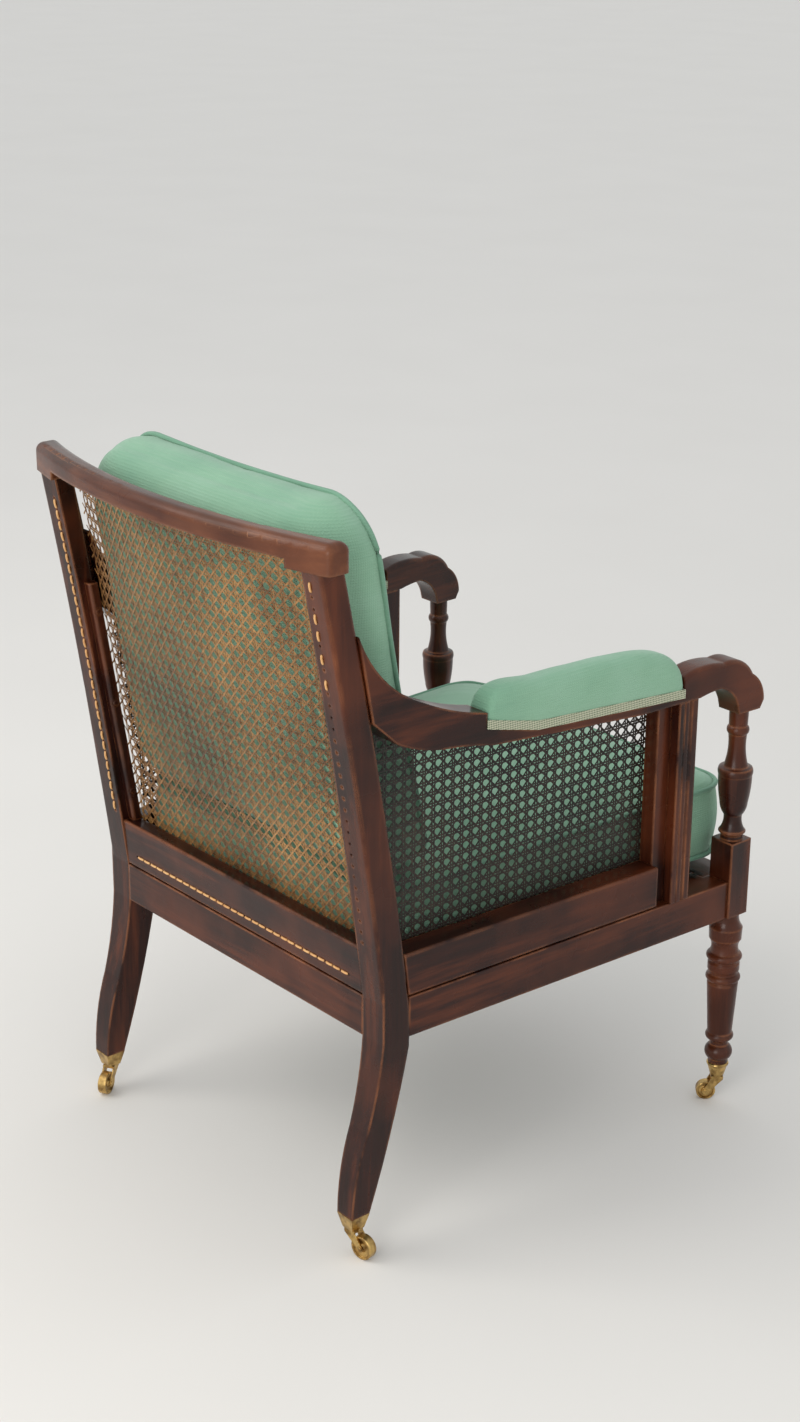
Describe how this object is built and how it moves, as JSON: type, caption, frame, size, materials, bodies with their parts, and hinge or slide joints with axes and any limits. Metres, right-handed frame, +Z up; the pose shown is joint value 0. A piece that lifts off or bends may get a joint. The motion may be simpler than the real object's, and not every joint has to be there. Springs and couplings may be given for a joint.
{
  "type": "bergere armchair",
  "caption": "Open caned armchair: turned front legs, scrolled arms with padded rests, raked bowed back, loose seat and back cushions, cup casters.",
  "frame": {"origin": "on the floor, at the middle of the chair's plan box", "axes": "+Z up, the chair faces -Y, +X is the sitter's left"},
  "size_m": [0.6494, 0.7713, 0.9624],
  "materials": {
    "mahogany": "satin",
    "beech": "matt",
    "cane_back": "satin",
    "cane_side": "satin",
    "fabric": "woven",
    "stuffing": "matt",
    "braid": "woven",
    "brass": "aged",
    "steel": "plain"
  },
  "bodies": {
    "frame": {"arm_dowels": "beech", "arm_gimp_left": "braid", "arm_gimp_right": "braid", "arm_left": "mahogany", "arm_pad_cover_left": "fabric", "arm_pad_cover_right": "fabric", "arm_pad_stuffing_left": "stuffing", "arm_pad_stuffing_right": "stuffing", "arm_right": "mahogany", "arm_upright_left": "mahogany", "arm_upright_right": "mahogany", "back_cane": "cane_back", "back_strip_left": "mahogany", "back_strip_plugs": "mahogany", "back_strip_right": "mahogany", "caster_cup_front_left": "brass", "caster_cup_front_right": "brass", "caster_cup_rear_left": "brass", "caster_cup_rear_right": "brass", "corner_block_front_left": "beech", "corner_block_front_right": "beech", "corner_block_rear_left": "beech", "corner_block_rear_right": "beech", "corner_block_screws": "steel", "crest_rail": "mahogany", "front_leg_left": "mahogany", "front_leg_right": "mahogany", "lower_back_rail": "mahogany", "lower_side_rail_left": "mahogany", "lower_side_rail_right": "mahogany", "panel_stile_left": "mahogany", "panel_stile_right": "mahogany", "rear_post_left": "mahogany", "rear_post_right": "mahogany", "seat_cane": "cane_side", "seat_rail_back": "mahogany", "seat_rail_front": "mahogany", "seat_rail_left": "mahogany", "seat_rail_right": "mahogany", "side_cane_left": "cane_side", "side_cane_right": "cane_side", "upright_dowels": "beech"},
    "seat_cushion": {"seat_cushion_cover": "fabric", "seat_cushion_filling": "stuffing"},
    "back_cushion": {"back_cushion_cover": "fabric", "back_cushion_filling": "stuffing"},
    "caster_front_left": {"caster_fork_front_left": "brass", "caster_axle_front_left": "brass"},
    "wheel_front_left": {"caster_wheel_front_left": "brass"},
    "caster_front_right": {"caster_fork_front_right": "brass", "caster_axle_front_right": "brass"},
    "wheel_front_right": {"caster_wheel_front_right": "brass"},
    "caster_rear_left": {"caster_fork_rear_left": "brass", "caster_axle_rear_left": "brass"},
    "wheel_rear_left": {"caster_wheel_rear_left": "brass"},
    "caster_rear_right": {"caster_fork_rear_right": "brass", "caster_axle_rear_right": "brass"},
    "wheel_rear_right": {"caster_wheel_rear_right": "brass"}
  },
  "joints": [
    {"name": "swivel_front_left", "type": "hinge", "parent": "frame", "child": "caster_front_left", "pos_m": [0.30002, -0.35, 0.038], "axis": [0, 0, 1], "continuous": true},
    {"name": "wheel_spin_front_left", "type": "hinge", "parent": "caster_front_left", "child": "wheel_front_left", "pos_m": [0.28703, -0.3425, 0.0135], "axis": [0.5, 0.866, 0], "continuous": true},
    {"name": "swivel_front_right", "type": "hinge", "parent": "frame", "child": "caster_front_right", "pos_m": [-0.30002, -0.35, 0.038], "axis": [0, 0, 1], "continuous": true},
    {"name": "wheel_spin_front_right", "type": "hinge", "parent": "caster_front_right", "child": "wheel_front_right", "pos_m": [-0.29027, -0.33859, 0.0135], "axis": [0.7604, -0.6494, 0], "continuous": true},
    {"name": "swivel_rear_left", "type": "hinge", "parent": "frame", "child": "caster_rear_left", "pos_m": [0.2689, 0.285, 0.038], "axis": [0, 0, 1], "continuous": true},
    {"name": "wheel_spin_rear_left", "type": "hinge", "parent": "caster_rear_left", "child": "wheel_rear_left", "pos_m": [0.26027, 0.29965, 0.016], "axis": [0.8616, 0.5075, 0], "continuous": true},
    {"name": "swivel_rear_right", "type": "hinge", "parent": "frame", "child": "caster_rear_right", "pos_m": [-0.2689, 0.285, 0.038], "axis": [0, 0, 1], "continuous": true},
    {"name": "wheel_spin_rear_right", "type": "hinge", "parent": "caster_rear_right", "child": "wheel_rear_right", "pos_m": [-0.28564, 0.28205, 0.016], "axis": [-0.1736, 0.9848, 0], "continuous": true},
    {"name": "seat_cushion_pull_out", "type": "slide", "parent": "frame", "child": "seat_cushion", "axis": [0, -1, 0], "range_m": [0, 0.62]},
    {"name": "back_cushion_lift_out", "type": "slide", "parent": "frame", "child": "back_cushion", "axis": [0, 0.159, 0.9873], "range_m": [0, 0.55]}
  ]
}
